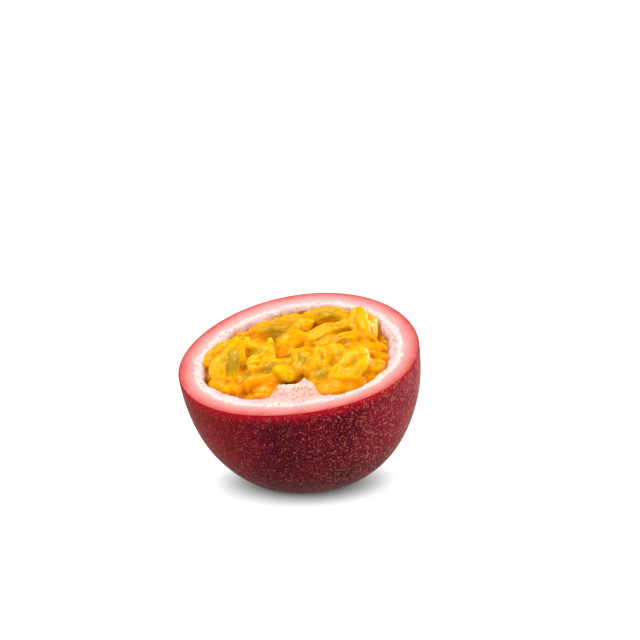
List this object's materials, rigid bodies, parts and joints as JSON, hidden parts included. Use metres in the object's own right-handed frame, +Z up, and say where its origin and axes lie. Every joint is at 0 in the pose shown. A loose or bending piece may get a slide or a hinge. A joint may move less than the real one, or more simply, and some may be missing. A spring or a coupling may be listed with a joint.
{
  "type": "passion fruit half",
  "caption": "Half of a ripe purple passion fruit, cut across, resting cut side up: speckled rind, pink flesh, white pith and a heap of juicy yellow seed sacs.",
  "frame": {"origin": "centre of the small flat spot at the blossom end that the half rests on", "axes": "+Z up out of the floor; the cut face looks up, its far side (+Y) and its right side (+X) standing a little higher"},
  "size_m": [0.0563, 0.0555, 0.0408],
  "materials": {
    "rind": "softly waxy dark maroon skin with fine tan specks, over coral to pale pink flesh",
    "pith": "matt spongy white pith, blushed pink, with small red fibre ends",
    "pulp": "wet translucent yellow-orange gel over olive-grey seeds"
  },
  "bodies": {
    "root": {"rind": "rind", "pith": "pith", "pulp": "pulp"}
  },
  "joints": []
}
